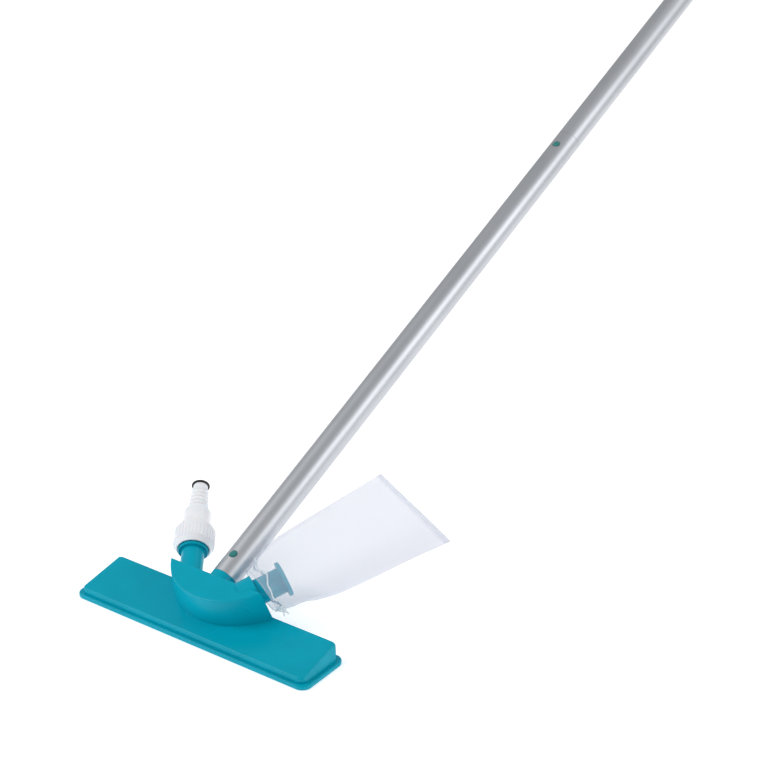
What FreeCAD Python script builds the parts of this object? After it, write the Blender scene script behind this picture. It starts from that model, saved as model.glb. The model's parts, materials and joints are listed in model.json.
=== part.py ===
import FreeCAD, Part
import math
import os
import re

import Sketcher

# Manual pool vacuum head: a moulded head with three tubes fanning out of its back (a water inlet with a
# hose adapter, the pole and the outlet), a three-section pole and a mesh debris bag on the outlet.
# Frame: origin on the floor at the middle of the sole, +X towards the outlet and bag, +Y backwards under
# the pole, +Z up. The three tube axes lie in one tilted plane and meet at the hub, a point in front.

doc = FreeCAD.newDocument("VacuumHead")
sheet = doc.addObject("Spreadsheet::Sheet", "sizes")
vector = FreeCAD.Vector

DRIVING_SIZES = [
    # the wedge-shaped plate and its lip
    ("head_length", 289.6), ("head_depth", 64), ("lip_height", 4), ("lip_corner", 10),
    ("lip_end", 4.6), ("end_draft", 3.5), ("lip_front", 3.7), ("lip_back", 4.1), ("shell_corner", 8),
    ("front_height", 9.7), ("back_height", 21.2), ("shell_wall", 2.4), ("edge_round", 2),
    # the D-shaped housing on the plate, drafted from its tilted top down to its foot
    ("housing_height", 52.8), ("housing_inset", 17), ("housing_tilt", 18), ("housing_drop", 40),
    ("top_half_chord", 56), ("top_bulge", 32.4), ("foot_half_chord", 63.7), ("foot_bulge", 36.9),
    ("housing_wall", 2.6), ("housing_round", 1.6),
    # the sole and its screws
    ("sole_thickness", 2.5), ("sole_gap", 0.25), ("slot_length", 190), ("slot_width", 12),
    ("slot_ahead", 9), ("post_radius", 3.2), ("post_end_inset", 18), ("post_front_inset", 11),
    ("post_back_inset", 13), ("screw_radius", 1.3), ("screw_head_radius", 2.9),
    ("screw_head_height", 1.6), ("screw_length", 6), ("screw_gap", 0.15),
    # the fan of tubes
    ("hub_ahead", 1.1), ("hub_height", 13.9), ("pole_angle", 23.7), ("splay", 32), ("seat_gap", 0.15),
    # the pole and what joins its sections
    ("pole_radius", 14), ("pole_wall", 1), ("section_length", 681), ("section_gap", 0.2),
    ("shoulder_length", 9.7), ("spigot_gap", 0.15), ("spigot_wall", 2.35), ("spigot_length", 50),
    ("hole_back", 14), ("stub_floor", 7), ("stub_root", 5), ("button_inset", 21.5), ("button_radius", 3.9),
    ("button_gap", 0.08), ("button_hole_gap", 0.5), ("button_stand", 1.2), ("button_travel", 3.2),
    ("flange_radius", 5.5), ("flange_height", 1.2), ("leaf_width", 6), ("leaf_thickness", 0.6),
    ("leaf_length", 32), ("leaf_gap", 0.1), ("cap_plug", 20), ("cap_head", 3),
    # the inlet pipe and the jet behind it
    ("inlet_radius", 11.5), ("inlet_bore", 8.5), ("root_space", 5.1), ("inlet_reach", 28),
    ("thread_radius", 14.5), ("thread_length", 22), ("crest_height", 0.8), ("crest_pitch", 3.4),
    ("jet_spigot", 8), ("jet_back", 20), ("jet_wall", 2), ("cross_radius", 6), ("jet_length", 14),
    ("jet_tip_radius", 4.5), ("slip_gap", 0.2),
    # the hose adapter: union nut, washer, hose tail and its ring
    ("nut_gap", 0.4), ("nut_mouth", 3.1), ("nut_lip", 1.2), ("nut_chamfer", 5.5), ("nut_radius", 20),
    ("nut_body", 22.5), ("nut_shoulder", 7.3), ("nut_end_radius", 16), ("rib_height", 0.5),
    ("rib_root", 0.6), ("rib_width", 1.5), ("tail_gap", 0.3), ("washer_thickness", 1.4),
    ("tail_flange", 2.4), ("neck_radius", 14.2), ("neck_length", 17.5), ("barb_radius", 10.6),
    ("barb_tip_radius", 8.9), ("barb_depth", 1.4), ("barb_pitch", 5.1), ("tail_bore", 5),
    ("tip_length", 7.4), ("tip_lip", 0.6), ("ring_seat", 6.9), ("ring_thickness", 2.3),
    # the outlet: boss, spool and bag
    ("boss_radius", 18), ("boss_reach", 10.5), ("spool_radius", 12.9), ("spool_bore", 10.5),
    ("spool_root", 6), ("spool_reach", 26.5), ("spool_flange_radius", 17.65), ("spool_flange", 4),
    ("bag_gap", 4.5), ("bag_space", 12), ("bag_wall", 1), ("ruffle_length", 7.5), ("ruffle_flare", 7),
    ("neck_gap", 1.6), ("bag_length", 170), ("bag_half_width", 61), ("bag_half_depth", 25),
    ("bag_seam", 3), ("cord_radius", 1.1), ("cord_gap", 0.15), ("tail_length", 12),
    ("knot_length", 11), ("knot_radius", 3.2),
]
BARBS = 6
CRESTS = 6
NUT_RIBS = 36
SECTIONS = ("lower", "middle", "upper")

for row, (alias, number) in enumerate(DRIVING_SIZES, start=1):
    sheet.set(f"A{row}", alias)
    sheet.set(f"B{row}", str(number))
    sheet.setAlias(f"B{row}", alias)
doc.recompute()
ALIASES = {alias for alias, number in DRIVING_SIZES}


def bound(text):
    """The expression with every size name pointing at the sheet."""
    return re.sub(r"[a-z_]+", lambda word: f"sizes.{word[0]}" if word[0] in ALIASES else word[0], str(text))


def value(text):
    """The number that an expression gives now."""
    return float(sheet.evalExpression(bound(text)))


def along(*terms):
    return "(" + " + ".join(str(term) for term in terms) + ")"


# places that several pieces share, as expressions of the sheet
HUB_Y = "(-head_depth / 2 - hub_ahead)"
HUB_Z = "hub_height"
HOUSING_Y = "(head_depth / 2 - housing_inset)"
SHELL_FRONT = "(-head_depth / 2 + lip_front)"
SHELL_BACK = "(head_depth / 2 - lip_back)"
SHELL_END = "(head_length / 2 - lip_end)"
CHAMBER_END = f"({SHELL_END} - end_draft - shell_wall)"
SLOPE = f"((back_height - front_height) / ({SHELL_BACK} - {SHELL_FRONT}))"
# distance from the hub to the housing's back face, along the pole and along the splayed tubes
FACE = (f"((({HOUSING_Y} - {HUB_Y}) * cos(housing_tilt) + (housing_height - {HUB_Z}) * sin(housing_tilt))"
        " / cos(pole_angle - housing_tilt))")
SIDE_FACE = f"({FACE} / cos(splay))"
POLE_START = along(FACE, "shoulder_length")
POLE_BORE = "(pole_radius - pole_wall)"
SPIGOT = f"({POLE_BORE} - spigot_gap)"
SPIGOT_BORE = f"({SPIGOT} - spigot_wall)"
# the inlet pipe starts where its corner is a set space away from the pole's stub
INLET_START = "((pole_radius + root_space + inlet_radius * cos(splay)) / sin(splay))"
INLET_END = along(SIDE_FACE, "inlet_reach", "thread_length")
NUT_START = along(SIDE_FACE, "inlet_reach", "nut_mouth")
NUT_BORE = "(thread_radius + crest_height + nut_gap)"
TAIL_START = along(INLET_END, "tail_gap", "washer_thickness", "tail_gap")
NUT_SHOULDER = along(TAIL_START, "tail_flange", "tail_gap")
NUT_END = along(NUT_SHOULDER, "nut_shoulder")
NECK_END = along(NUT_END, "neck_length")
SPOOL_END = along(SIDE_FACE, "boss_reach", "spool_reach", "spool_flange")
BAG_START = along(SIDE_FACE, "boss_reach", "bag_gap")
NECK_AT = along(BAG_START, "ruffle_length")
NECK_RADIUS = "(spool_radius + neck_gap)"


def plateTop(y):
    return f"(front_height + ({y} - {SHELL_FRONT}) * {SLOPE})"


def turn(axis, degrees):
    return f"create(<<rotation>>; create(<<vector>>; {axis}); {degrees})"


def place(x, y, z, *turns):
    turned = " * ".join(turns) if turns else turn("0; 0; 1", 0)
    return f"create(<<placement>>; create(<<vector>>; ({x}) * 1 mm; ({y}) * 1 mm; ({z}) * 1 mm); {turned})"


def tubeFrame(splay="0"):
    """A frame at the hub with +Z out along a tube, X across the fan of tubes and -Y on the tubes' upper side."""
    return place("0", HUB_Y, HUB_Z, turn("1; 0; 0", "pole_angle - 90"), turn("0; 1; 0", splay))


def alongTube(distance, splay):
    """A frame on a tube's axis, a distance from the hub."""
    across = f"({distance}) * sin({splay})"
    out = f"({distance}) * cos({splay})"
    return place(across, f"{HUB_Y} + {out} * cos(pole_angle)", f"{HUB_Z} + {out} * sin(pole_angle)",
                 turn("1; 0; 0", "pole_angle - 90"), turn("0; 1; 0", splay))


INLET_FRAME = tubeFrame("-splay")
POLE_FRAME = tubeFrame()
OUTLET_FRAME = tubeFrame("splay")


def bind(item, prop, text):
    item.setExpression(prop, bound(text))


def newBody(label, frame=None):
    body = doc.addObject("PartDesign::Body", label)
    body.Label = label
    if frame:
        bind(body, "Placement", frame)
    return body


def settle(feature):
    """Recompute, and stop at the first feature that fails."""
    doc.recompute()
    if "Invalid" in feature.State or "Error" in feature.State:
        raise RuntimeError(f"{feature.Name} failed")
    return feature


def sketchOn(body, role="XY_Plane", offset=None):
    sketch = body.newObject("Sketcher::SketchObject", f"{body.Label}_sketch")
    plane = [item for item in body.Origin.OriginFeatures if item.Role == role][0]
    sketch.AttachmentSupport = [(plane, "")]
    sketch.MapMode = "FlatFace"
    if offset:
        bind(sketch, "AttachmentOffset", offset)
    return sketch


def fix(sketch, item, point, across, up):
    """Hold one point of a sketch's geometry at a place given by two expressions."""
    for kind, axis, text in (("DistanceX", -2, across), ("DistanceY", -1, up)):
        if text == "0":
            sketch.addConstraint(Sketcher.Constraint("PointOnObject", item, point, axis))
        else:
            number = sketch.addConstraint(Sketcher.Constraint(kind, -1, 1, item, point, value(text)))
            bind(sketch, f"Constraints[{number}]", text)


def polygon(sketch, corners):
    places = [vector(value(across), value(up), 0) for across, up in corners]
    first = sketch.GeometryCount
    count = len(corners)
    for index in range(count):
        sketch.addGeometry(Part.LineSegment(places[index], places[(index + 1) % count]))
    for index in range(count):
        after = first + (index + 1) % count
        sketch.addConstraint(Sketcher.Constraint("Coincident", first + index, 2, after, 1))
    for index, (across, up) in enumerate(corners):
        fix(sketch, first + index, 1, across, up)
    return sketch


def circle(sketch, radius, across="0", up="0"):
    centre = vector(value(across), value(up), 0)
    item = sketch.addGeometry(Part.Circle(centre, vector(0, 0, 1), value(radius)))
    number = sketch.addConstraint(Sketcher.Constraint("Radius", item, value(radius)))
    bind(sketch, f"Constraints[{number}]", radius)
    fix(sketch, item, 3, across, up)
    return sketch


def rectangle(sketch, left, right, low, high):
    return polygon(sketch, [(left, low), (right, low), (right, high), (left, high)])


def segment(sketch, halfChord, bulge, chordAt):
    """A D outline: a straight chord and an arc that bulges towards -Y."""
    half, low, chord = value(halfChord), value(bulge), value(chordAt)
    left, right = vector(-half, chord, 0), vector(half, chord, 0)
    arc = sketch.addGeometry(Part.Arc(left, vector(0, chord - low, 0), right))
    line = sketch.addGeometry(Part.LineSegment(right, left))
    geometry = sketch.Geometry[arc]
    start = 1 if geometry.StartPoint.x < 0 else 2
    sketch.addConstraint(Sketcher.Constraint("Coincident", arc, 3 - start, line, 1))
    sketch.addConstraint(Sketcher.Constraint("Coincident", arc, start, line, 2))
    fix(sketch, line, 1, halfChord, chordAt)
    fix(sketch, line, 2, f"-({halfChord})", chordAt)
    radius = f"(({halfChord}) ^ 2 + ({bulge}) ^ 2) / (2 * ({bulge}))"
    number = sketch.addConstraint(Sketcher.Constraint("Radius", arc, value(radius)))
    bind(sketch, f"Constraints[{number}]", radius)
    return sketch


def pad(body, sketch, length, symmetric=False, reverse=False):
    feature = body.newObject("PartDesign::Pad", f"{body.Label}_pad")
    feature.Profile = sketch
    bind(feature, "Length", length)
    feature.Reversed = reverse
    if symmetric:
        feature.SideType = "Symmetric"
    return settle(feature)


def pocket(body, sketch, length=None, forward=False, symmetric=False):
    """Cut a sketch through or to a length; forward cuts along the sketch's normal."""
    before = body.Shape.Volume
    feature = body.newObject("PartDesign::Pocket", f"{body.Label}_pocket")
    feature.Profile = sketch
    if length is None:
        feature.Type = "ThroughAll"
    else:
        bind(feature, "Length", length)
    if symmetric:
        feature.SideType = "Symmetric"
    feature.Reversed = forward
    settle(feature)
    if body.Shape.Volume > before - 1e-3:
        raise RuntimeError(f"{feature.Name} cuts nothing")
    return feature


def loft(body, kind, sketches):
    feature = body.newObject(f"PartDesign::{kind}", f"{body.Label}_loft")
    feature.Profile = sketches[0]
    feature.Sections = sketches[1:]
    feature.Ruled = True
    return settle(feature)


def dress(body, kind, test, size, prop="Radius"):
    """Fillet or chamfer the edges of the body's tip that pass a test."""
    base = body.Tip
    names = [f"Edge{index}" for index, edge in enumerate(base.Shape.Edges, start=1) if test(edge)]
    if not names:
        raise RuntimeError(f"no edges for the {kind.lower()} of {body.Label}")
    feature = body.newObject(f"PartDesign::{kind}", f"{body.Label}_{kind.lower()}")
    feature.Base = (base, names)
    bind(feature, prop, size)
    return settle(feature)


def turned(body, outline):
    """Spin a half outline of (radius, distance along) points about the body's own Z."""
    sketch = polygon(sketchOn(body, "XZ_Plane"), outline)
    feature = body.newObject("PartDesign::Revolution", f"{body.Label}_turned")
    feature.Profile = sketch
    feature.ReferenceAxis = (sketch, ["V_Axis"])
    feature.Angle = 360
    return settle(feature)


def upperHoles(body, radius, places):
    """Round holes through the tube wall on the upper side."""
    sketch = sketchOn(body, "XZ_Plane")
    for at in places:
        circle(sketch, radius, "0", at)
    pocket(body, sketch, "pole_radius * 2", forward=True)


# the moulded head: wedge plate, lip and housing
def isUpright(edge):
    box = edge.BoundBox
    return box.XLength < 1e-4 and box.YLength < 1e-4 and box.ZLength > 1


def postPlaces():
    side = f"({SHELL_END} - post_end_inset)"
    front = "(-head_depth / 2 + post_front_inset)"
    back = "(head_depth / 2 - post_back_inset)"
    return [(f"-{side}", front), ("0", front), (side, front), (f"-{side}", back), (side, back)]


def tiltedPlane(down):
    """The housing's top plane, moved down along its own normal."""
    y = f"{HOUSING_Y} + ({down}) * sin(housing_tilt)"
    z = f"housing_height - ({down}) * cos(housing_tilt)"
    return place("0", y, z, turn("1; 0; 0", "housing_tilt"))


def makeHeadShell():
    shell = newBody("head_shell")
    half = "head_length / 2"
    lip = rectangle(sketchOn(shell), f"-({half})", half, "-head_depth / 2", "head_depth / 2")
    pad(shell, lip, "lip_height")
    dress(shell, "Fillet", isUpright, "lip_corner")
    upper = rectangle(sketchOn(shell), f"-({SHELL_END})", SHELL_END, SHELL_FRONT, SHELL_BACK)
    pad(shell, upper, "back_height")
    top = value("back_height")
    dress(shell, "Fillet", lambda edge: isUpright(edge) and edge.BoundBox.ZMax > top - 1, "shell_corner")
    wedge = polygon(sketchOn(shell, "YZ_Plane"), [
        (SHELL_FRONT, "front_height"), (SHELL_BACK, "back_height"), (SHELL_BACK, "back_height * 2"),
        (f"{SHELL_FRONT} - 1", "back_height * 2"), (f"{SHELL_FRONT} - 1", "front_height")])
    pocket(shell, wedge, "head_length * 2", symmetric=True)
    slants = sketchOn(shell, "XZ_Plane")
    for side in ("", "-"):
        polygon(slants, [(f"{side}({SHELL_END})", "lip_height"), (f"{side}({SHELL_END} + 1)", "lip_height"),
                       (f"{side}({SHELL_END} + 1)", "back_height + 1"),
                       (f"{side}({SHELL_END} - end_draft)", "back_height + 1")])
    pocket(shell, slants, "head_depth * 2", symmetric=True)
    rise = value(SLOPE)
    front = value(SHELL_FRONT)

    def onSlope(edge):
        return all(abs(point.z - value("front_height") - (point.y - front) * rise) < 0.01
                   for point in (edge.valueAt(edge.FirstParameter), edge.valueAt(edge.LastParameter)))

    dress(shell, "Fillet", onSlope, "edge_round")
    lipHeight = value("lip_height")
    ends = value(half)

    def onLip(edge):
        box = edge.BoundBox
        outside = (box.XMax > ends - 0.01 or box.XMin < -ends + 0.01
                   or max(abs(box.YMin), abs(box.YMax)) > value("head_depth / 2") - 0.01)
        return outside and abs(box.ZMin - lipHeight) < 1e-3 and abs(box.ZMax - lipHeight) < 1e-3

    dress(shell, "Fillet", onLip, "lip_height * 0.35")
    roof = segment(sketchOn(shell, offset=tiltedPlane("0")), "top_half_chord", "top_bulge", "0")
    foot = segment(sketchOn(shell, offset=tiltedPlane("housing_drop")), "foot_half_chord", "foot_bulge", "0")
    loft(shell, "AdditiveLoft", [roof, foot])
    roofEdge = value("housing_height")
    tilt = value("housing_tilt")

    def onRoof(edge):
        ends = (edge.valueAt(edge.FirstParameter), edge.valueAt(edge.LastParameter))
        lean = math.tan(math.radians(tilt))
        return all(abs(point.z - roofEdge - (point.y - value(HOUSING_Y)) * lean) < 0.01 for point in ends)

    dress(shell, "Fillet", onRoof, "housing_round")
    boss = circle(sketchOn(shell, offset=alongTube(f"{SIDE_FACE} - spool_root", "splay")), "boss_radius")
    pad(shell, boss, "boss_reach + spool_root")
    hollowOut(shell)
    return shell


def hollowOut(shell):
    """The space under the wedge, the space in the housing, the screw posts and the tube holes."""
    wall = "shell_wall"
    ceiling = [(f"{SHELL_FRONT} + {wall}", "0"), (f"{SHELL_BACK} - {wall}", "0"),
               (f"{SHELL_BACK} - {wall}", f"{plateTop(f'({SHELL_BACK} - {wall})')} - {wall}"),
               (f"{SHELL_FRONT} + {wall}", f"{plateTop(f'({SHELL_FRONT} + {wall})')} - {wall}")]
    chamber = polygon(sketchOn(shell, "YZ_Plane"), ceiling)
    pocket(shell, chamber, f"2 * {CHAMBER_END}", symmetric=True)
    roof = segment(sketchOn(shell, offset=tiltedPlane("housing_wall")), "top_half_chord - housing_wall * 2.2",
                   "top_bulge - housing_wall * 1.8", "-housing_wall")
    foot = segment(sketchOn(shell, offset=tiltedPlane("housing_drop + 4")),
                   "foot_half_chord - housing_wall * 2.2", "foot_bulge - housing_wall * 1.8", "-housing_wall")
    before = shell.Shape.Volume
    loft(shell, "SubtractiveLoft", [roof, foot])
    if shell.Shape.Volume > before - 1:
        raise RuntimeError("the housing is not hollow")
    for place_x, place_y in postPlaces():
        post = circle(sketchOn(shell, offset=place("0", "0", "sole_thickness")), "post_radius", place_x, place_y)
        pad(shell, post, f"{plateTop(place_y)} - {wall} / 2 - sole_thickness")
    pilot = sketchOn(shell)
    for place_x, place_y in postPlaces():
        circle(pilot, "screw_radius + screw_gap", place_x, place_y)
    pocket(shell, pilot, "screw_length + screw_gap", forward=True)
    holes = (("-splay", "inlet_radius + seat_gap"), ("0", "pole_radius + seat_gap"),
             ("splay", "spool_radius + seat_gap"))
    for angle, radius in holes:
        start = alongTube(f"{FACE} / cos({angle}) - hole_back", angle)
        pocket(shell, circle(sketchOn(shell, offset=start), radius), "hole_back * 3", forward=True)


# the sole plate and its screws
def makeSole():
    sole = newBody("sole_plate")
    end = f"({CHAMBER_END} - sole_gap)"
    outline = rectangle(sketchOn(sole), f"-{end}", end, f"{SHELL_FRONT} + shell_wall + sole_gap",
                        f"{SHELL_BACK} - shell_wall - sole_gap")
    pad(sole, outline, "sole_thickness")
    slot = rectangle(sketchOn(sole), "-slot_length / 2", "slot_length / 2", "-slot_ahead - slot_width / 2",
                     "-slot_ahead + slot_width / 2")
    pocket(sole, slot, forward=True)
    holes = sketchOn(sole)
    recesses = sketchOn(sole)
    for across, back in postPlaces():
        circle(holes, "screw_radius + screw_gap", across, back)
        circle(recesses, "screw_head_radius + screw_gap", across, back)
    pocket(sole, holes, forward=True)
    pocket(sole, recesses, "screw_head_height", forward=True)
    dress(sole, "Fillet", isUpright, "sole_gap * 2")


def makeScrews():
    screws = []
    for index, (across, back) in enumerate(postPlaces(), start=1):
        head = doc.addObject("Part::Cylinder", f"screw_head_{index}")
        bind(head, "Radius", "screw_head_radius")
        bind(head, "Height", "screw_head_height - screw_gap")
        shank = doc.addObject("Part::Cylinder", f"screw_shank_{index}")
        bind(shank, "Radius", "screw_radius")
        bind(shank, "Height", "screw_length")
        screw = doc.addObject("Part::Fuse", f"screw_{index}")
        screw.Base = head
        screw.Tool = shank
        bind(screw, "Placement", place(across, back, "screw_gap"))
        screws.append(screw)
    group = doc.addObject("Part::Compound", "sole_screws")
    group.Label = "sole_screws"
    group.Links = screws
    doc.recompute()


# the pole: stub, three sections, two couplings, snap buttons and cap
def makeStub():
    root = along(FACE, "-stub_root")
    top = along(POLE_START, "spigot_length")
    floor = along(root, "stub_floor")
    stub = newBody("pole_stub", POLE_FRAME)
    turned(stub, [("0", root), ("pole_radius", root), ("pole_radius", POLE_START), (SPIGOT, POLE_START),
                  (SPIGOT, top), (SPIGOT_BORE, top), (SPIGOT_BORE, floor), ("0", floor)])
    upperHoles(stub, "button_radius + button_gap", [along(POLE_START, "button_inset")])


def sectionStart(index):
    return along(POLE_START, f"section_gap * {index + 1}", f"section_length * {index}")


def makeSections():
    for index, name in enumerate(SECTIONS):
        start = sectionStart(index)
        end = along(start, "section_length")
        section = newBody(f"pole_section_{name}", POLE_FRAME)
        turned(section, [(POLE_BORE, start), ("pole_radius", start), ("pole_radius", end), (POLE_BORE, end)])
        holes = []
        if index == 0:
            holes.append(along(POLE_START, "button_inset"))
        if index < len(SECTIONS) - 1:
            holes.append(along(end, "-button_inset"))
        if holes:
            upperHoles(section, "button_radius + button_hole_gap", holes)


def makeCouplings():
    for index, name in enumerate(SECTIONS[:-1]):
        middle = along(sectionStart(index), "section_length")
        low = along(middle, "-spigot_length")
        high = along(middle, "spigot_length")
        coupling = newBody(f"pole_coupling_{name}", POLE_FRAME)
        turned(coupling, [(SPIGOT_BORE, low), (SPIGOT, low), (SPIGOT, high), (SPIGOT_BORE, high)])
        upperHoles(coupling, "button_radius + button_gap", [along(middle, "-button_inset")])


def makeButton(name, distance):
    """A domed snap button with a flange inside the spigot, and the bent leaf that pushes it out."""
    button = newBody(f"{name}_button", buttonFrame(distance))
    seat = f"sqrt({SPIGOT_BORE} ^ 2 - flange_radius ^ 2)"
    top = "pole_radius + button_stand"
    turned(button, [("0", f"{seat} - leaf_gap - flange_height"), ("flange_radius",
                    f"{seat} - leaf_gap - flange_height"), ("flange_radius", f"{seat} - leaf_gap"),
                    ("button_radius", f"{seat} - leaf_gap"), ("button_radius", f"{top} - button_radius * 0.3"),
                    ("button_radius * 0.6", top), ("0", top)])
    leaf = newBody(f"{name}_leaf", alongTube(distance, "0"))
    bed = f"(-sqrt({SPIGOT_BORE} ^ 2 - (leaf_width / 2) ^ 2) + leaf_gap)"
    press = f"({seat} - leaf_gap * 2 - flange_height)"
    back = "leaf_length / 2"
    outline = [("-leaf_length / 2", f"-({bed})"), (back, f"-({bed})"), (back, f"-({bed}) - leaf_thickness * 2"),
               ("-leaf_width", f"-({press})"), ("-leaf_width", f"-({press}) + leaf_thickness"),
               (f"{back} - leaf_thickness * 2", f"-({bed}) - leaf_thickness"),
               ("-leaf_length / 2", f"-({bed}) - leaf_thickness")]
    side = polygon(sketchOn(leaf, "YZ_Plane"), [(up, out) for out, up in outline])
    pad(leaf, side, "leaf_width", symmetric=True)


def buttonFrame(distance):
    """On the pole's axis, with +Z up through its upper side."""
    return place("0", f"{HUB_Y} + {distance} * cos(pole_angle)", f"{HUB_Z} + {distance} * sin(pole_angle)",
                 turn("1; 0; 0", "pole_angle"))


def makeButtons():
    makeButton("stub", along(POLE_START, "button_inset"))
    for index, name in enumerate(SECTIONS[:-1]):
        makeButton(f"coupling_{name}", along(sectionStart(index), "section_length", "-button_inset"))


def makeCap():
    end = along(sectionStart(2), "section_length")
    cap = newBody("pole_cap", POLE_FRAME)
    top = along(end, "section_gap", "cap_head")
    turned(cap, [("0", along(end, "-cap_plug")), (SPIGOT, along(end, "-cap_plug")),
                 (SPIGOT, along(end, "section_gap")), ("pole_radius", along(end, "section_gap")),
                 ("pole_radius", along(top, "-1")), ("pole_radius - 1", top), ("0", top)])


# the water inlet: pipe, jet, nut, washer, hose tail and its ring
def makeInlet():
    start = INLET_START
    seat = along(SIDE_FACE, "inlet_reach")
    outline = [("inlet_bore", start), ("inlet_radius", start), ("inlet_radius", seat), ("thread_radius", seat)]
    for index in range(CRESTS):
        at = along(INLET_END, f"-crest_pitch * {CRESTS - index} - 1")
        outline += [("thread_radius", at), ("thread_radius + crest_height", along(at, "crest_pitch * 0.35")),
                    ("thread_radius", along(at, "crest_pitch * 0.7"))]
    outline += [("thread_radius", INLET_END), ("inlet_bore", INLET_END)]
    pipe = newBody("inlet_pipe", INLET_FRAME)
    turned(pipe, outline)


def rod(name, radius, length, frame, tip=None):
    """A cylinder, or a cone when it has a tip radius, along its frame's Z."""
    item = doc.addObject("Part::Cone" if tip else "Part::Cylinder", name)
    if tip:
        bind(item, "Radius1", radius)
        bind(item, "Radius2", tip)
    else:
        bind(item, "Radius", radius)
    bind(item, "Height", length)
    bind(item, "Placement", frame)
    return item


def ball(name, radius, frame):
    item = doc.addObject("Part::Sphere", name)
    bind(item, "Radius", radius)
    bind(item, "Placement", frame)
    return item


def join(name, pieces):
    item = doc.addObject("Part::MultiFuse", name)
    item.Shapes = pieces
    return item


def makeJet():
    """The inlet's water crosses the housing in a pipe and leaves as a jet into the outlet's throat."""
    back = along(SIDE_FACE, "-jet_back")
    inletSide = alongTube(back, "-splay")
    outletSide = alongTube(back, "splay")
    spigot = "inlet_bore - slip_gap"
    bore = "cross_radius - jet_wall"
    crossing = f"2 * {back} * sin(splay)"
    crossFrame = place(f"-{back} * sin(splay)", f"{HUB_Y} + {back} * cos(splay) * cos(pole_angle)",
                       f"{HUB_Z} + {back} * cos(splay) * sin(pole_angle)", turn("0; 1; 0", 90))
    spigotFrame = alongTube(along(INLET_START, "-jet_wall"), "-splay")
    reach = f"{INLET_START} - {back}"
    solid = join("jet_outside", [
        rod("jet_inlet", "cross_radius", reach, inletSide), ball("jet_corner", "cross_radius", inletSide),
        rod("jet_spigot_end", spigot, "jet_spigot + jet_wall", spigotFrame),
        rod("jet_cross", "cross_radius", crossing, crossFrame), ball("jet_turn", "cross_radius", outletSide),
        rod("jet_nozzle", "cross_radius", "jet_length", outletSide, "jet_tip_radius")])
    hollow = join("jet_inside", [
        rod("jet_inlet_bore", bore, f"{reach} + jet_spigot + jet_wall", inletSide),
        ball("jet_corner_bore", bore, inletSide),
        rod("jet_cross_bore", bore, crossing, crossFrame), ball("jet_turn_bore", bore, outletSide),
        rod("jet_nozzle_bore", bore, "jet_length + slip_gap", outletSide, "jet_tip_radius - jet_wall")])
    jet = doc.addObject("Part::Cut", "jet_manifold")
    jet.Label = "jet_manifold"
    jet.Base = solid
    jet.Tool = hollow
    doc.recompute()


def makeNut():
    """The ribbed union nut that draws the hose tail onto the inlet pipe."""
    ribStart = along(NUT_START, "nut_chamfer")
    ribEnd = along(NUT_START, "nut_body")
    nut = newBody("union_nut", INLET_FRAME)
    turned(nut, [
        (NUT_BORE, NUT_START), (f"{NUT_BORE} + nut_lip", NUT_START), ("nut_radius", ribStart),
        ("nut_radius", ribEnd), ("nut_end_radius", NUT_END), ("neck_radius + tail_gap", NUT_END),
        ("neck_radius + tail_gap", NUT_SHOULDER), (NUT_BORE, NUT_SHOULDER)])
    first = sketchOn(nut, offset=place("0", "0", ribStart))
    rectangle(first, "-rib_width / 2", "rib_width / 2", "nut_radius - rib_root", "nut_radius + rib_height")
    rib = pad(nut, first, "nut_body - nut_chamfer")
    pattern = nut.newObject("PartDesign::PolarPattern", "nut_ribs")
    pattern.Originals = [rib]
    pattern.Axis = (first, ["N_Axis"])
    pattern.Angle = 360
    pattern.Occurrences = NUT_RIBS
    nut.Tip = pattern
    settle(pattern)


def makeWasher():
    start = along(INLET_END, "tail_gap")
    end = along(start, "washer_thickness")
    washer = newBody("union_washer", INLET_FRAME)
    turned(washer, [("inlet_bore", start), ("thread_radius", start), ("thread_radius", end), ("inlet_bore", end)])


def makeTail():
    """Flange under the nut's shoulder, smooth neck and a barbed, tapering tail with a ring near its tip."""
    flangeEnd = along(TAIL_START, "tail_flange")
    outline = [("tail_bore", TAIL_START), (f"{NUT_BORE} - tail_gap", TAIL_START),
               (f"{NUT_BORE} - tail_gap", flangeEnd), ("neck_radius", flangeEnd),
               ("neck_radius", along(NECK_END, "-nut_lip")), ("neck_radius - nut_lip", NECK_END),
               ("barb_radius - barb_depth", NECK_END)]
    for index in range(BARBS):
        share = f"{index} / {BARBS - 1}"
        crest = f"(barb_radius - (barb_radius - barb_tip_radius) * {share})"
        at = along(NECK_END, f"barb_pitch * {index}")
        outline += [(crest, along(at, "barb_pitch * 0.2")), (crest, along(at, "barb_pitch * 0.45")),
                    (f"{crest} - barb_depth", along(at, "barb_pitch"))]
    tip = along(NECK_END, f"barb_pitch * {BARBS}", "tip_length")
    seatEnd = along(tip, "-tip_lip")
    seatStart = along(seatEnd, "-ring_thickness", "-cord_gap * 2")
    outline += [("barb_tip_radius - barb_depth", seatStart), ("ring_seat", seatStart), ("ring_seat", seatEnd),
                ("barb_tip_radius - barb_depth", seatEnd), ("barb_tip_radius - barb_depth", tip),
                ("tail_bore", tip)]
    tail = newBody("hose_tail", INLET_FRAME)
    turned(tail, outline)
    ring = doc.addObject("Part::Torus", "tail_ring")
    ring.Label = "tail_ring"
    bind(ring, "Radius1", "ring_seat + ring_thickness / 2 + cord_gap / 2")
    bind(ring, "Radius2", "ring_thickness / 2")
    bind(ring, "Placement", alongTube(along(seatEnd, "-cord_gap", "-ring_thickness / 2"), "-splay"))
    doc.recompute()


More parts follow.
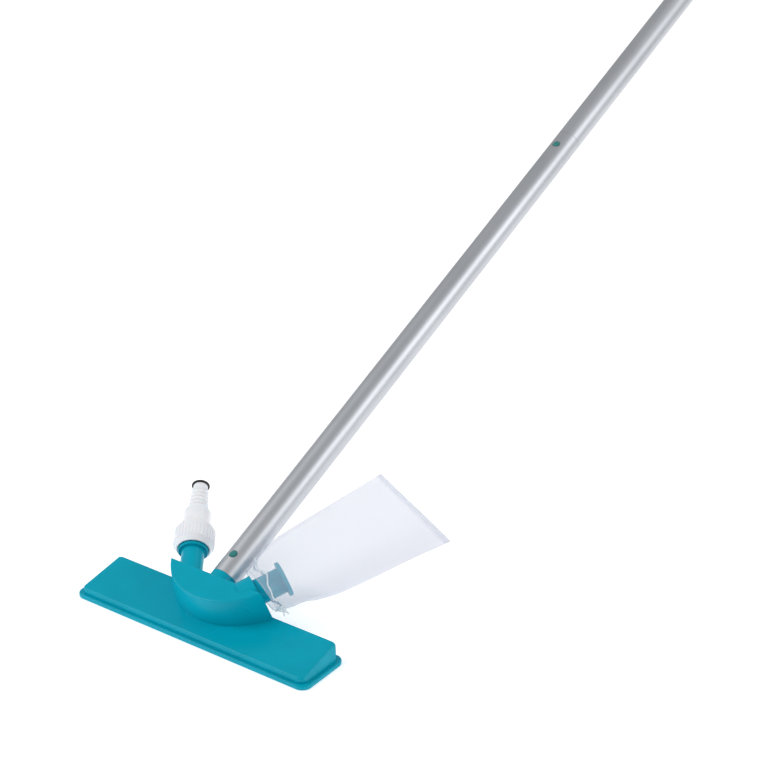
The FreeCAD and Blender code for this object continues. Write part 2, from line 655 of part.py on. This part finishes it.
# the outlet spool, the debris bag on it and the bag's draw cord
def makeSpool():
    start = along(SIDE_FACE, "-spool_root")
    seat = along(SPOOL_END, "-spool_flange")
    spool = newBody("outlet_spool", OUTLET_FRAME)
    turned(spool, [("spool_bore", start), ("spool_radius", start), ("spool_radius", seat),
                   ("spool_flange_radius", seat), ("spool_flange_radius", along(SPOOL_END, "-0.8")),
                   ("spool_flange_radius - 0.8", SPOOL_END), ("spool_bore", SPOOL_END)])


def oval(halfWidth, halfDepth, distance):
    """An ellipse across the outlet's axis; its long half-axis lies along X unless it is round."""
    curve = Part.Ellipse(vector(0, 0, distance), max(halfWidth, halfDepth + 1e-4), halfDepth)
    return Part.Wire(curve.toShape())


def besidePole(distance):
    """The half width at a distance from the hub that leaves a set space between the bag and the pole."""
    splay = math.radians(value("splay"))
    return (distance * math.sin(splay) - value("pole_radius + bag_space")) / math.cos(splay)


def bagSections(inset):
    """Ruffle, gathered neck and pouch down to the flat seam, each drawn in by an inset."""
    start = value(BAG_START)
    neckAt = value(NECK_AT)
    neck = value(NECK_RADIUS) + value("bag_wall")
    width = value("bag_half_width")
    depth = value("bag_half_depth")
    length = value("bag_length")
    ruffle = neck + value("ruffle_flare")
    stations = [(start, ruffle, ruffle * 0.9), (neckAt - 2, neck + 1, neck + 1), (neckAt + 2, neck + 1, neck + 1),
                (neckAt + 13, besidePole(neckAt + 13), depth * 0.92),
                (neckAt + 34, besidePole(neckAt + 34), depth),
                (neckAt + length * 0.45, width * 0.88, depth * 0.86),
                (neckAt + length * 0.7, width * 0.95, depth * 0.55), (start + length, width, value("bag_seam"))]
    return [(at, across - inset, up - inset) for at, across, up in stations]


def makeBag():
    """The bag's loft has its true outside and is open at the mouth; only its far seam is closed."""
    wall = value("bag_wall")
    outside = Part.makeLoft([oval(across, up, at) for at, across, up in bagSections(0)], True, True)
    inner = bagSections(wall)
    seamAt, seamWidth, seamDepth = inner[-1]
    inner[-1] = (seamAt - wall * 2, seamWidth, seamDepth)
    inside = Part.makeLoft([oval(across, up, at) for at, across, up in inner], True, True)
    bag = doc.addObject("Part::Feature", "debris_bag")
    bag.Label = "debris_bag"
    bag.Shape = outside.cut(inside)
    bind(bag, "Placement", OUTLET_FRAME)


def makeDrawCord():
    """A loop round the bag's gathered neck, with its two ends in one short tail and a knot."""
    radius = f"({NECK_RADIUS} + bag_wall + 1 + cord_radius + cord_gap)"
    loop = doc.addObject("Part::Torus", "cord_loop")
    bind(loop, "Radius1", radius)
    bind(loop, "Radius2", "cord_radius")
    bind(loop, "Placement", alongTube(NECK_AT, "splay"))
    tailEnd = rod("cord_tail", "cord_radius", "tail_length", cordFrame(radius))
    cord = join("bag_drawcord", [loop, tailEnd])
    cord.Label = "bag_drawcord"
    knot = doc.addObject("Part::Ellipsoid", "cord_knot")
    knot.Label = "cord_knot"
    bind(knot, "Radius1", "knot_radius")
    bind(knot, "Radius2", "knot_length / 2")
    bind(knot, "Radius3", "knot_radius")
    bind(knot, "Placement", cordFrame(f"{radius} + tail_length + cord_gap + knot_radius"))
    doc.recompute()


def cordFrame(out):
    """From the outlet's axis at the neck, across the fan towards +X, with +Z outwards."""
    across = f"({NECK_AT}) * sin(splay) + ({out}) * cos(splay)"
    ahead = f"(({NECK_AT}) * cos(splay) - ({out}) * sin(splay))"
    return place(across, f"{HUB_Y} + {ahead} * cos(pole_angle)", f"{HUB_Z} + {ahead} * sin(pole_angle)",
                 turn("1; 0; 0", "pole_angle - 90"), turn("0; 1; 0", "splay + 90"))


makeHeadShell()
makeSole()
makeScrews()
makeStub()
makeSections()
makeCouplings()
makeButtons()
makeCap()
makeInlet()
makeJet()
makeNut()
makeWasher()
makeTail()
makeSpool()
makeBag()
makeDrawCord()
doc.recompute()

BUTTONS = ["stub"] + [f"coupling_{name}" for name in SECTIONS[:-1]]
NODES = (
    ["head_shell", "sole_plate", "sole_screws", "jet_manifold", "inlet_pipe", "outlet_spool", "pole_stub"]
    + [f"pole_section_{name}" for name in SECTIONS]
    + [f"pole_coupling_{name}" for name in SECTIONS[:-1]]
    + [f"{name}_{piece}" for name in BUTTONS for piece in ("button", "leaf")]
    + ["pole_cap", "union_nut", "union_washer", "hose_tail", "tail_ring", "debris_bag", "bag_drawcord",
       "cord_knot"])

for item in doc.Objects:
    if "Invalid" in item.State or "Error" in item.State:
        raise RuntimeError(f"{item.Label} failed")
os.makedirs("parts", exist_ok=True)
for node in NODES:
    shape = doc.getObjectsByLabel(node)[0].Shape
    if shape.isNull() or not shape.isValid() or shape.Volume <= 0:
        raise RuntimeError(f"{node} has no valid solid")
    print(f"{node}: {len(shape.Solids)} solid, {shape.Volume / 1000:.2f} cm3")
    shape.exportStep(f"parts/{node}.step")
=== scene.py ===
import json
import math

import bmesh
import bpy
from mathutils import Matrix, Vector, noise


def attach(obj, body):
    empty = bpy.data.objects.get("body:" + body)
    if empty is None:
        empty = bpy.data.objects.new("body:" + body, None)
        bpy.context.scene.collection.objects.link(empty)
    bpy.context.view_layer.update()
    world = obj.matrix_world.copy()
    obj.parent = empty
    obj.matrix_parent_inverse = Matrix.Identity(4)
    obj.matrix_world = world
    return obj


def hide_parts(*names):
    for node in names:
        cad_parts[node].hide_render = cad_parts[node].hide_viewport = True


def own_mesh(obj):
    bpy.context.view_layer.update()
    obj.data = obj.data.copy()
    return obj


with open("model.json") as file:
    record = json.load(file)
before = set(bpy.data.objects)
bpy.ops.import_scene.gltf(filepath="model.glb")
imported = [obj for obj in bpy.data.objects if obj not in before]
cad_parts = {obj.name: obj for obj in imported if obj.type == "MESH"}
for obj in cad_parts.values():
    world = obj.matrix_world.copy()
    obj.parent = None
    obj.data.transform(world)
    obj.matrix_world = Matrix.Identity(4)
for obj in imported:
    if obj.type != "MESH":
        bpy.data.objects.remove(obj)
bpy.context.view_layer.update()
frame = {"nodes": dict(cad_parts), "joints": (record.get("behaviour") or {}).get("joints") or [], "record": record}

nodes = frame["nodes"]
joints = {joint["name"]: joint for joint in frame["joints"]}
mounts = {mount["name"]: mount for mount in frame["record"]["mounts"]}

# where the tubes run, read from the joints
outletAxis = Vector(mounts["hose_bore"]["axis"])
outletAxis.x = -outletAxis.x  # the outlet mirrors the inlet across the pole
acrossAxis = Vector(joints["bag_swing"]["axis"])
upperAxis = acrossAxis.cross(outletAxis)  # out of the plane of the three tubes, upwards
neckPoint = Vector(joints["bag_swing"]["pos_m"])
poleAxis = Vector(mounts["pole_grip"]["axis"])


# materials
def toLinear(hexText):
    parts = [int(hexText[i:i + 2], 16) / 255 for i in (1, 3, 5)]
    return tuple(c / 12.92 if c <= 0.04045 else ((c + 0.055) / 1.055) ** 2.4 for c in parts) + (1,)


def newMaterial(name):
    material = bpy.data.materials.new(name)
    material.use_nodes = True
    tree = material.node_tree
    shader = tree.nodes["Principled BSDF"]
    return material, tree, shader


def addNode(tree, kind, settings=None, links=None):
    node = tree.nodes.new(kind)
    for key, setting in (settings or {}).items():
        if isinstance(key, str) and hasattr(node, key):
            setattr(node, key, setting)
        else:
            node.inputs[key].default_value = setting
    for key, source in (links or {}).items():
        tree.links.new(source, node.inputs[key])
    return node


def mixColours(tree, factor, first, second):
    node = addNode(tree, "ShaderNodeMix", {"data_type": "RGBA"})
    tree.links.new(factor, node.inputs[0])
    node.inputs[6].default_value = toLinear(first)
    node.inputs[7].default_value = toLinear(second)
    return node.outputs[2]


def mouldedPlastic(name, light, dark, roughness, grainMm, grainDepth, subsurface=0.0, gloss=0.3):
    # injection-moulded ABS: an even colour with a faint cloud from the mould, and a fine spark-eroded grain
    material, tree, shader = newMaterial(name)
    place = addNode(tree, "ShaderNodeTexCoord")
    cloud = addNode(tree, "ShaderNodeTexNoise", {"Scale": 1000 / 45, "Detail": 2.0, "Roughness": 0.5},
                    {"Vector": place.outputs["Object"]})
    spread = addNode(tree, "ShaderNodeMapRange", {"From Min": 0.35, "From Max": 0.65},
                     {"Value": cloud.outputs["Fac"]})
    colour = mixColours(tree, spread.outputs["Result"], light, dark)
    tree.links.new(colour, shader.inputs["Base Color"])
    grain = addNode(tree, "ShaderNodeTexNoise", {"Scale": 1000 / grainMm, "Detail": 3.0},
                    {"Vector": place.outputs["Object"]})
    rough = addNode(tree, "ShaderNodeMapRange", {"To Min": roughness - 0.04, "To Max": roughness + 0.05},
                    {"Value": grain.outputs["Fac"]})
    tree.links.new(rough.outputs["Result"], shader.inputs["Roughness"])
    bump = addNode(tree, "ShaderNodeBump", {"Strength": grainDepth, "Distance": 0.0002},
                   {"Height": grain.outputs["Fac"]})
    tree.links.new(bump.outputs["Normal"], shader.inputs["Normal"])
    shader.inputs["IOR"].default_value = 1.53
    shader.inputs["Specular IOR Level"].default_value = gloss
    shader.inputs["Subsurface Weight"].default_value = subsurface
    shader.inputs["Subsurface Scale"].default_value = 0.002
    return material


def anodisedTube(name):
    # drawn and anodised aluminium: a satin metal with faint lines along the tube and cloudy patches
    material, tree, shader = newMaterial(name)
    place = addNode(tree, "ShaderNodeTexCoord")
    lean = math.atan2(poleAxis.z, poleAxis.y)
    turned = addNode(tree, "ShaderNodeMapping", {"vector_type": "TEXTURE"},
                     {"Vector": place.outputs["Object"]})
    turned.inputs["Rotation"].default_value = (lean, 0, 0)
    squeezed = addNode(tree, "ShaderNodeMapping", {}, {"Vector": turned.outputs["Vector"]})
    # stretches the lines a hundredfold along the tube
    squeezed.inputs["Scale"].default_value = (1, 0.01, 1)
    lines = addNode(tree, "ShaderNodeTexNoise", {"Scale": 1000 / 0.7, "Detail": 3.0},
                    {"Vector": squeezed.outputs["Vector"]})
    cloud = addNode(tree, "ShaderNodeTexNoise", {"Scale": 1000 / 80, "Detail": 2.0},
                    {"Vector": place.outputs["Object"]})
    colour = mixColours(tree, cloud.outputs["Fac"], "#c0c3c8", "#ced1d6")
    tree.links.new(colour, shader.inputs["Base Color"])
    rough = addNode(tree, "ShaderNodeMapRange", {"To Min": 0.42, "To Max": 0.52},
                    {"Value": lines.outputs["Fac"]})
    tree.links.new(rough.outputs["Result"], shader.inputs["Roughness"])
    bump = addNode(tree, "ShaderNodeBump", {"Strength": 0.12, "Distance": 0.00005},
                   {"Height": lines.outputs["Fac"]})
    tree.links.new(bump.outputs["Normal"], shader.inputs["Normal"])
    shader.inputs["Metallic"].default_value = 1.0
    return material


def stripSteel(name, light, dark, roughness):
    # cold-rolled stainless strip: fine rolling marks under a dull shine
    material, tree, shader = newMaterial(name)
    place = addNode(tree, "ShaderNodeTexCoord")
    marks = addNode(tree, "ShaderNodeTexNoise", {"Scale": 1000 / 1.5, "Detail": 2.0},
                    {"Vector": place.outputs["Object"]})
    colour = mixColours(tree, marks.outputs["Fac"], light, dark)
    tree.links.new(colour, shader.inputs["Base Color"])
    shader.inputs["Roughness"].default_value = roughness
    shader.inputs["Metallic"].default_value = 1.0
    return material


def nitrileRubber(name):
    # moulded nitrile: near black, with a dull bloom
    material, tree, shader = newMaterial(name)
    place = addNode(tree, "ShaderNodeTexCoord")
    bloom = addNode(tree, "ShaderNodeTexNoise", {"Scale": 1000 / 3, "Detail": 3.0},
                    {"Vector": place.outputs["Object"]})
    colour = mixColours(tree, bloom.outputs["Fac"], "#141415", "#242426")
    tree.links.new(colour, shader.inputs["Base Color"])
    shader.inputs["Roughness"].default_value = 0.55
    return material


def wavePitch(mm):
    # the wave texture repeats every 2 pi / (20 x Scale) units
    return 0.314 * 1000 / mm


def knittedMesh(name):
    # warp-knitted polyester net: a sheer white cloth, denser at the hem and the stitched seams
    material, tree, shader = newMaterial(name)
    uv = addNode(tree, "ShaderNodeTexCoord")
    weave = []
    for turn in (0.6, 0.6 + math.pi / 2):
        mapped = addNode(tree, "ShaderNodeMapping", {}, {"Vector": uv.outputs["UV"]})
        mapped.inputs["Rotation"].default_value = (0, 0, turn)
        wave = addNode(tree, "ShaderNodeTexWave", {"Scale": wavePitch(0.9), "Distortion": 0.3},
                       {"Vector": mapped.outputs["Vector"]})
        weave.append(wave.outputs["Fac"])
    net = addNode(tree, "ShaderNodeMath", {"operation": "MAXIMUM"}, {0: weave[0], 1: weave[1]})
    dense = addNode(tree, "ShaderNodeAttribute", {"attribute_name": "dense"})
    sheer = addNode(tree, "ShaderNodeMapRange", {"To Min": 0.12, "To Max": 0.21}, {"Value": net.outputs[0]})
    alpha = addNode(tree, "ShaderNodeMath", {"operation": "ADD", "use_clamp": True},
                    {0: sheer.outputs["Result"], 1: dense.outputs["Fac"]})
    tree.links.new(alpha.outputs[0], shader.inputs["Alpha"])
    colour = mixColours(tree, net.outputs[0], "#ced4e6", "#dae0ee")
    tree.links.new(colour, shader.inputs["Base Color"])
    shader.inputs["Roughness"].default_value = 0.8
    shader.inputs["Specular IOR Level"].default_value = 0.2
    return material


def braidedCord(name):
    # braided polyester cord: pale, with a diagonal plait
    material, tree, shader = newMaterial(name)
    place = addNode(tree, "ShaderNodeTexCoord")
    plait = addNode(tree, "ShaderNodeTexWave",
                    {"Scale": wavePitch(1.4), "Distortion": 1.0, "bands_direction": "DIAGONAL"},
                    {"Vector": place.outputs["Object"]})
    colour = mixColours(tree, plait.outputs["Fac"], "#d3e2ea", "#f0f6fa")
    tree.links.new(colour, shader.inputs["Base Color"])
    bump = addNode(tree, "ShaderNodeBump", {"Strength": 0.4, "Distance": 0.0002},
                   {"Height": plait.outputs["Fac"]})
    tree.links.new(bump.outputs["Normal"], shader.inputs["Normal"])
    shader.inputs["Roughness"].default_value = 0.6
    return material


def pickOnly(piece):
    bpy.ops.object.select_all(action="DESELECT")
    bpy.context.view_layer.objects.active = piece
    piece.select_set(True)


finishes = {
    "teal_plastic": mouldedPlastic("mouldedTealAbs", "#00a9c2", "#00a2ba", roughness=0.24,
                                   grainMm=0.6, grainDepth=0.04, gloss=0.12),
    "teal_plastic_matt": mouldedPlastic("mattTealAbs", "#00889a", "#007d8f", roughness=0.5,
                                        grainMm=0.6, grainDepth=0.1),
    "button_plastic": mouldedPlastic("tealButtonAcetal", "#3a8785", "#327d7b", roughness=0.4,
                                     grainMm=0.5, grainDepth=0.05, gloss=0.2),
    "white_plastic": mouldedPlastic("mouldedWhiteAbs", "#fafcff", "#f5f8ff", roughness=0.28,
                                    grainMm=0.6, grainDepth=0.04, subsurface=0.1),
    "satin_aluminium": anodisedTube("satinAnodisedAluminium"),
    "spring_steel": stripSteel("rolledSpringSteel", "#a9adb0", "#8c9093", 0.3),
    "screw_steel": stripSteel("stainlessScrewSteel", "#b5b8ba", "#9da1a3", 0.35),
    "black_rubber": nitrileRubber("mouldedNitrile"),
    "bag_mesh": knittedMesh("knittedWhiteNet"),
    "draw_cord": braidedCord("braidedWhiteCord"),
}
for entry in frame["record"]["subparts"]:
    meshData = nodes[entry["node"]].data
    meshData.materials.clear()
    meshData.materials.append(finishes[entry["material_slot"]])
print("materials set")

# the debris bag: one sheet of net, gathered on the spool by a draw cord
bag = {
    "around": 220,
    "alongCount": 110,
    "frill": 0.0085,  # the hem beyond the cord
    "mouthSlant": 0.0045,  # the hem is shorter on the outer side, clear of the housing
    "length": 0.1625,  # from the cord to the far seam
    # half-widths on the pole's side and on the outer side, and half-depths, by distance past the cord
    "poleSide": [(-0.0125, 0.0240), (0.001, 0.0365), (0.013, 0.0445), (0.033, 0.0495), (0.1625, 0.0605)],
    "outerSide": [(-0.0125, 0.0250), (0.009, 0.0310), (0.024, 0.0330), (0.037, 0.0410), (0.059, 0.0480),
                  (0.1625, 0.0605)],
    "depth": [(-0.0125, 0.0215), (0, 0.0178), (0.016, 0.0208), (0.040, 0.0225), (0.085, 0.0165),
              (0.130, 0.0070), (0.1625, 0.0012)],
    "gathers": 15,
    "gatherDepth": 0.0007,
    "seamSlant": 0.17,  # the far seam is cut a little askew
    "drift": 0.0055,
    "cloth": 0.0003,
    "squareFrom": 0.02,  # where the section starts to turn from round to lens-shaped
    "squareTo": 0.3,
    "flatSides": 0.25,  # how much thinner the lens gets towards its two edges
    "gatherReach": 0.022,
    "gatherUneven": 1.3,
    "creaseDepth": 0.0035,
    "creasesAcross": 20,  # per metre
    "creasesAlong": 9,
    "creaseFrom": 0.015,
    "creaseTo": 0.05,
    "cordWaves": [(0.0022, 5, 0.6), (0.0012, 9, 0)],  # height, waves round the neck, start
    # doubled cloth looks denser: how dense each seam is, and how wide
    "hemDense": 0.16,
    "hemWidth": 0.0025,
    "gatherDense": 0.10,
    "gatherFrom": 0.0005,
    "gatherTo": 0.003,
    "seamDense": 0.07,
    "farSeamFrom": 0.007,
    "farSeamTo": 0.004,
    "sideSeamWidth": 0.12,
    "uvWidth": 0.25,  # metres of cloth round the bag
}


def smoothStep(low, high, at):
    share = min(max((at - low) / (high - low), 0), 1)
    return share * share * (3 - 2 * share)


def curveThrough(points, at):
    # a smooth curve through (distance, size) points
    at = min(max(at, points[0][0]), points[-1][0])
    index = max(i for i in range(len(points) - 1) if points[i][0] <= at)
    (low, start), (high, end) = points[index], points[index + 1]
    before, after = points[max(index - 1, 0)], points[min(index + 2, len(points) - 1)]
    step = high - low
    leave = (end - before[1]) / (high - before[0]) * step
    arrive = (after[1] - start) / (after[0] - low) * step
    t = (at - low) / step
    return ((2 * t ** 3 - 3 * t ** 2 + 1) * start + (t ** 3 - 2 * t ** 2 + t) * leave
            + (3 * t ** 2 - 2 * t ** 3) * end + (t ** 3 - t ** 2) * arrive)


def bagPoint(turn, along):
    # place on the bag for an angle about the outlet and a distance past the cord
    cosine, sine = math.cos(turn), math.sin(turn)
    outer = 0.5 + 0.5 * cosine
    wide = curveThrough(bag["outerSide"], along) * outer
    wide += curveThrough(bag["poleSide"], along) * (1 - outer)
    deep = curveThrough(bag["depth"], along)
    square = smoothStep(bag["squareFrom"], bag["squareTo"], along)
    across = wide * cosine
    up = deep * sine * (1 - bag["flatSides"] * square * abs(cosine) ** 2)
    gather = bag["gatherDepth"] * math.exp(-abs(along) / bag["gatherReach"])
    gather *= math.sin(turn * bag["gathers"] + bag["gatherUneven"] * math.sin(turn * 3))
    across += gather * cosine
    up += gather * sine
    # the two faces crease apart, and the far seam holds the creases flat
    face = math.copysign(3, sine)
    crease = noise.noise(Vector((across * bag["creasesAcross"], along * bag["creasesAlong"], face)))
    crease *= bag["creaseDepth"]
    loose = smoothStep(bag["creaseFrom"], bag["creaseTo"], along)
    loose *= 1 - 0.75 * smoothStep(0.85, 1.0, along / bag["length"])
    up += crease * loose * abs(sine) ** 0.4
    if along > 0:
        past = along / bag["length"]
        along += across * bag["seamSlant"] * past ** 1.5
        across -= bag["drift"] * past
    return neckPoint + outletAxis * along + acrossAxis * across + upperAxis * up


def cordLine(turn):
    # how far past the neck's middle the cord lies
    return sum(height * math.sin(turn * waves + start) for height, waves, start in bag["cordWaves"])


def rowPlace(row, step):
    # how far past the cord a row of the bag's grid lies
    mouth = bag["mouthSlant"] * math.cos(2 * math.pi * step / bag["around"]) - bag["frill"]
    return mouth + (bag["length"] - mouth) * row / bag["alongCount"]


def makeBag():
    meshData = bpy.data.meshes.new("netBag")
    shape = bmesh.new()
    uvLayer = shape.loops.layers.uv.new("cut")
    dense = shape.verts.layers.float.new("dense")
    around, rows = bag["around"], bag["alongCount"]
    grid = []
    for row in range(rows + 1):
        grid.append([shape.verts.new(bagPoint(2 * math.pi * step / around, rowPlace(row, step)))
                     for step in range(around)])
    for row in range(rows):
        for step in range(around):
            after = (step + 1) % around
            shape.faces.new((grid[row][step], grid[row][after], grid[row + 1][after], grid[row + 1][step]))
    for step in range(around // 2):  # stitch the far seam shut
        low, high = (around - step) % around, (around - step - 1) % around
        if len({step, step + 1, high, low}) == 4:
            shape.faces.new((grid[-1][step], grid[-1][step + 1], grid[-1][high], grid[-1][low]))
        elif len({step, step + 1, high}) == 3:
            shape.faces.new((grid[-1][step], grid[-1][step + 1], grid[-1][high]))
    for row in range(rows + 1):
        for step in range(around):
            along = rowPlace(row, step)
            turn = 2 * math.pi * step / around
            sideSeam = max(0, 1 - abs(math.sin(turn)) / bag["sideSeamWidth"])
            farSeam = smoothStep(-bag["farSeamFrom"], -bag["farSeamTo"], along - bag["length"])
            hem = 1 - smoothStep(0, bag["hemWidth"], along - rowPlace(0, step))
            gathered = 1 - smoothStep(bag["gatherFrom"], bag["gatherTo"], abs(along - cordLine(turn)))
            grid[row][step][dense] = max(bag["seamDense"] * farSeam, bag["hemDense"] * hem,
                                         bag["gatherDense"] * gathered, bag["seamDense"] * sideSeam)
    shape.verts.index_update()
    for face in shape.faces:
        for loop in face.loops:
            row, step = divmod(loop.vert.index, around)
            loop[uvLayer].uv = (step / around * bag["uvWidth"], row / rows * (bag["length"] + bag["frill"]))
    bmesh.ops.recalc_face_normals(shape, faces=shape.faces)
    shape.to_mesh(meshData)
    shape.free()
    piece = bpy.data.objects.new("netBag", meshData)
    bpy.context.scene.collection.objects.link(piece)
    meshData.materials.append(finishes["bag_mesh"])
    pickOnly(piece)
    thicken = piece.modifiers.new("clothThickness", "SOLIDIFY")
    thicken.thickness = bag["cloth"]
    thicken.offset = 0
    bpy.ops.object.modifier_apply(modifier=thicken.name)
    bpy.ops.object.shade_smooth()
    return piece


netBag = makeBag()
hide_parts("debris_bag")
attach(netBag, "bag")
print("bag made")

# the draw cord in the bag's hem, and the knot in its ends
drawCord = {
    "radius": 0.0007,
    "sides": 10,
    "steps": 260,
    "knotSize": 0.0011,  # a third of the knot's reach from its middle
    "knotSteps": 90,
    "knotGap": 0.0042,  # from the cord to the knot's middle
    "ends": 0.006,
    "endSteps": 8,
    "endLeans": (0.55, -0.25),  # towards the bag and away from it
}


def tubeMesh(name, routes):
    # one mesh of round tubes; each route is a list of points and whether it closes on itself
    shape = bmesh.new()
    sides = drawCord["sides"]
    corners = [2 * math.pi * k / sides for k in range(sides)]
    for points, closed in routes:
        count = len(points)
        rings = []
        for index, point in enumerate(points):
            before = points[(index - 1) % count] if closed or index else point
            after = points[(index + 1) % count] if closed or index < count - 1 else point
            run = (after - before).normalized()
            side = run.cross(outletAxis + upperAxis * 0.3).normalized()
            other = run.cross(side)
            rings.append([shape.verts.new(point + (side * math.cos(corner) + other * math.sin(corner))
                                          * drawCord["radius"]) for corner in corners])
        for index in range(count if closed else count - 1):
            ring, following = rings[index], rings[(index + 1) % count]
            for k in range(sides):
                shape.faces.new((ring[k], ring[(k + 1) % sides], following[(k + 1) % sides], following[k]))
        if not closed:
            shape.faces.new(rings[0])
            shape.faces.new(rings[-1])
    bmesh.ops.recalc_face_normals(shape, faces=shape.faces)
    meshData = bpy.data.meshes.new(name)
    shape.to_mesh(meshData)
    shape.free()
    meshData.materials.append(finishes["draw_cord"])
    piece = bpy.data.objects.new(name, meshData)
    bpy.context.scene.collection.objects.link(piece)
    pickOnly(piece)
    bpy.ops.object.shade_smooth()
    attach(piece, "bag")
    return piece


def cordPoint(turn):
    place = bagPoint(turn, cordLine(turn))
    outward = (place - neckPoint - outletAxis * (place - neckPoint).dot(outletAxis)).normalized()
    return place + outward * (drawCord["radius"] + bag["cloth"])


def knotPoints(middle):
    # a trefoil, which is what a tight overhand knot looks like
    points = []
    for step in range(drawCord["knotSteps"]):
        turn = 2 * math.pi * step / drawCord["knotSteps"]
        flat = math.sin(turn) + 2 * math.sin(2 * turn)
        tall = math.cos(turn) - 2 * math.cos(2 * turn)
        thick = -math.sin(3 * turn)
        offset = acrossAxis * flat + outletAxis * tall + upperAxis * thick
        points.append(middle + offset * drawCord["knotSize"])
    return points


def endPoints(middle, lean):
    # a short cord end that curls down from the knot
    points = []
    for step in range(drawCord["endSteps"] + 1):
        share = step / drawCord["endSteps"]
        reach = drawCord["ends"] * share
        points.append(middle + acrossAxis * reach * 0.9 + outletAxis * lean * reach
                      - upperAxis * (0.5 * drawCord["ends"] * share ** 2))
    return points


loop = [cordPoint(2 * math.pi * step / drawCord["steps"]) for step in range(drawCord["steps"])]
wavyCord = tubeMesh("wavyCord", [(loop, True)])
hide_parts("bag_drawcord")
knotMiddle = cordPoint(0) + acrossAxis * drawCord["knotGap"]
cordEnds = [(endPoints(knotMiddle, lean), False) for lean in drawCord["endLeans"]]
tiedKnot = tubeMesh("tiedKnot", [(knotPoints(knotMiddle), True)] + cordEnds)
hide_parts("cord_knot")
print("cord made")

# the leaf springs under the snap buttons: welded copies of the leaves, carried with the head and pole
springs = {
    "stubSpring": ("stub_leaf", "stub_button_press"),
    "couplingLowerSpring": ("coupling_lower_leaf", "lower_coupling_button_press"),
    "couplingMiddleSpring": ("coupling_middle_leaf", "middle_coupling_button_press"),
}
for name, (leaf, joint) in springs.items():
    spring = bpy.data.objects.new(name, nodes[leaf].data.copy())
    bpy.context.scene.collection.objects.link(spring)
    pickOnly(spring)
    bpy.ops.object.mode_set(mode="EDIT")
    bpy.ops.mesh.select_all(action="SELECT")
    bpy.ops.mesh.remove_doubles(threshold=0.00001)
    bpy.ops.object.mode_set(mode="OBJECT")
    inward = Vector(joints[joint]["axis"])
    lowest = max((vertex.co for vertex in spring.data.vertices), key=lambda point: point.dot(inward)).copy()
    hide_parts(leaf)
    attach(spring, "head_and_pole")
    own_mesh(spring)
print("springs made")

# floor, light and camera
studio = {
    "floorSize": 14,
    "floorDrop": 0.0005,  # just under the sole
    "floorGlow": 0.40,  # a lit sweep, so the paper stays white
    "airGlow": 0.42,
    # name, place, target, size and power
    "lights": [("fillLight", (-1.6, -1.2, 2.2), (0, 0.2, 0.1), 1.4, 38),
               ("keyLight", (2.4, 1.3, 1.8), (0, 0.3, 0.1), 1.5, 24),
               ("backLight", (0.2, 2.8, 2.2), (0, 0.6, 0.2), 1.2, 8)],
    "cameraPlace": (1.1106, -1.2486, 1.0674),
    "azimuth": 35.87,
    "elevation": 25.7,
    "lens": 95.5,
}


def addLight(name, place, target, size, power):
    lamp = bpy.data.lights.new(name, "AREA")
    lamp.shape = "SQUARE"
    lamp.size = size
    lamp.energy = power
    holder = bpy.data.objects.new(name, lamp)
    holder.location = place
    aim = Vector(target) - Vector(place)
    holder.rotation_euler = aim.to_track_quat("-Z", "Y").to_euler()
    bpy.context.scene.collection.objects.link(holder)


def makeStudio():
    bpy.ops.object.select_all(action="DESELECT")
    bpy.ops.mesh.primitive_plane_add(size=studio["floorSize"], location=(0, 0, -studio["floorDrop"]))
    floor = bpy.context.active_object
    floor.name = "studioFloor"
    material, tree, shader = newMaterial("palePaper")
    place = addNode(tree, "ShaderNodeTexCoord")
    cloud = addNode(tree, "ShaderNodeTexNoise", {"Scale": 2.0}, {"Vector": place.outputs["Object"]})
    colour = mixColours(tree, cloud.outputs["Fac"], "#ffffff", "#fcfcfd")
    tree.links.new(colour, shader.inputs["Base Color"])
    shader.inputs["Roughness"].default_value = 0.9
    shader.inputs["Specular IOR Level"].default_value = 0.1
    shader.inputs["Emission Color"].default_value = (1, 1, 1, 1)
    shader.inputs["Emission Strength"].default_value = studio["floorGlow"]
    floor.data.materials.append(material)
    world = bpy.data.worlds.new("studioAir")
    bpy.context.scene.world = world
    world.use_nodes = True
    world.node_tree.nodes["Background"].inputs["Color"].default_value = (1, 1, 1, 1)
    world.node_tree.nodes["Background"].inputs["Strength"].default_value = studio["airGlow"]
    for light in studio["lights"]:
        addLight(*light)


def makeCamera():
    data = bpy.data.cameras.new("camera")
    data.lens = studio["lens"]
    data.sensor_width = 36
    data.clip_end = 50
    camera = bpy.data.objects.new("camera", data)
    camera.location = studio["cameraPlace"]
    camera.rotation_euler = (math.radians(90 - studio["elevation"]), 0, math.radians(studio["azimuth"]))
    bpy.context.scene.collection.objects.link(camera)
    bpy.context.scene.camera = camera


makeStudio()
makeCamera()
bpy.context.scene.view_settings.view_transform = "Standard"
print("studio set")
